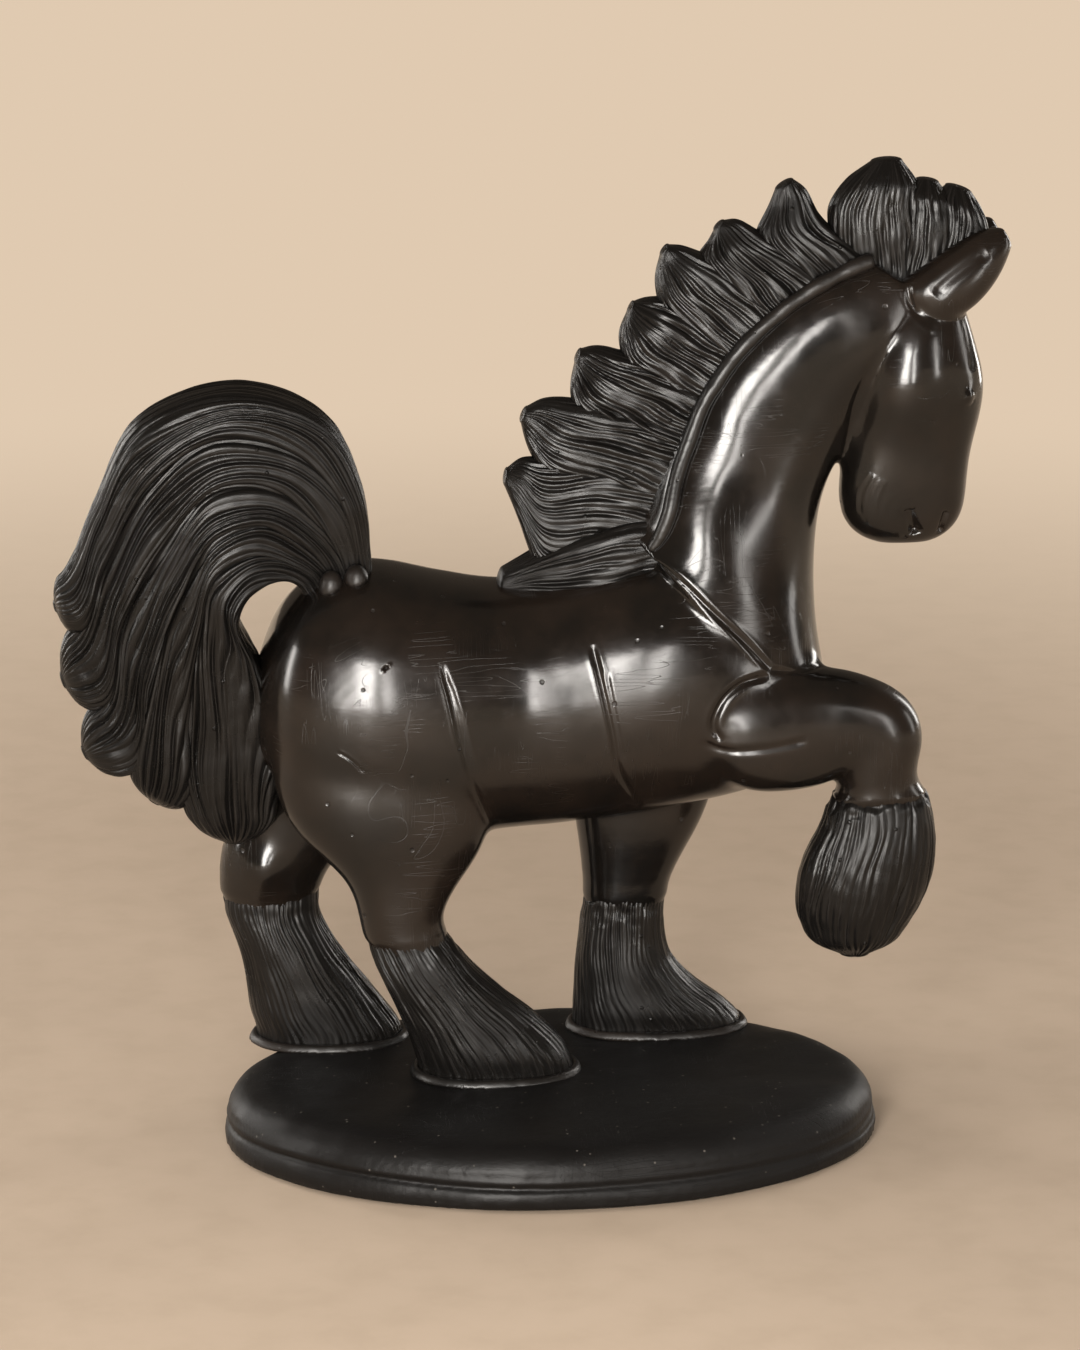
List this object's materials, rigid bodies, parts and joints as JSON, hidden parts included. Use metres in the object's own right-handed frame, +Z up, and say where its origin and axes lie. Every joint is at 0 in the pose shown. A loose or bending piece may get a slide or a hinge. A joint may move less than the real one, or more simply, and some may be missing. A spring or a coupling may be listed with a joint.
{
  "type": "horse figurine",
  "caption": "Black burnished clay horse, prancing with one foreleg raised, combed mane, plume tail and feathered feet, on an oval two-layer plinth.",
  "frame": {"origin": "middle of the plinth's flat underside", "axes": "+X towards the horse's head, +Y to the horse's left, +Z up"},
  "size_m": [0.2457, 0.1184, 0.2505],
  "materials": {
    "burnished_clay": "burnished gloss",
    "combed_clay": "satin, combed",
    "plinth_clay": "satin",
    "slip_clay": "satin"
  },
  "bodies": {
    "root": {"barrel": "burnished_clay", "base_slab": "plinth_clay", "base_top": "plinth_clay", "forehand": "burnished_clay", "forelock_1": "combed_clay", "forelock_2": "combed_clay", "forelock_3": "combed_clay", "head": "burnished_clay", "hoof_bead_left_fore": "slip_clay", "hoof_bead_left_hind": "slip_clay", "hoof_bead_right_hind": "slip_clay", "left_ear": "burnished_clay", "left_fore_feather": "combed_clay", "left_forearm": "burnished_clay", "left_hind_feather": "combed_clay", "left_thigh": "burnished_clay", "mane_bead_left": "slip_clay", "mane_bead_right": "slip_clay", "mane_lock_1": "combed_clay", "mane_lock_2": "combed_clay", "mane_lock_3": "combed_clay", "mane_lock_4": "combed_clay", "mane_lock_5": "combed_clay", "mane_lock_6": "combed_clay", "mane_lock_7": "combed_clay", "mane_lock_8": "combed_clay", "neck": "burnished_clay", "right_ear": "burnished_clay", "right_fore_feather": "combed_clay", "right_forearm": "burnished_clay", "right_hind_feather": "combed_clay", "right_thigh": "burnished_clay", "rump": "burnished_clay", "tail_dab_1": "slip_clay", "tail_dab_2": "slip_clay", "tail_dock": "combed_clay", "tail_lock_1": "combed_clay", "tail_lock_2": "combed_clay", "tail_lock_3": "combed_clay", "tail_lock_4": "combed_clay", "tail_lock_5": "combed_clay"}
  },
  "joints": []
}
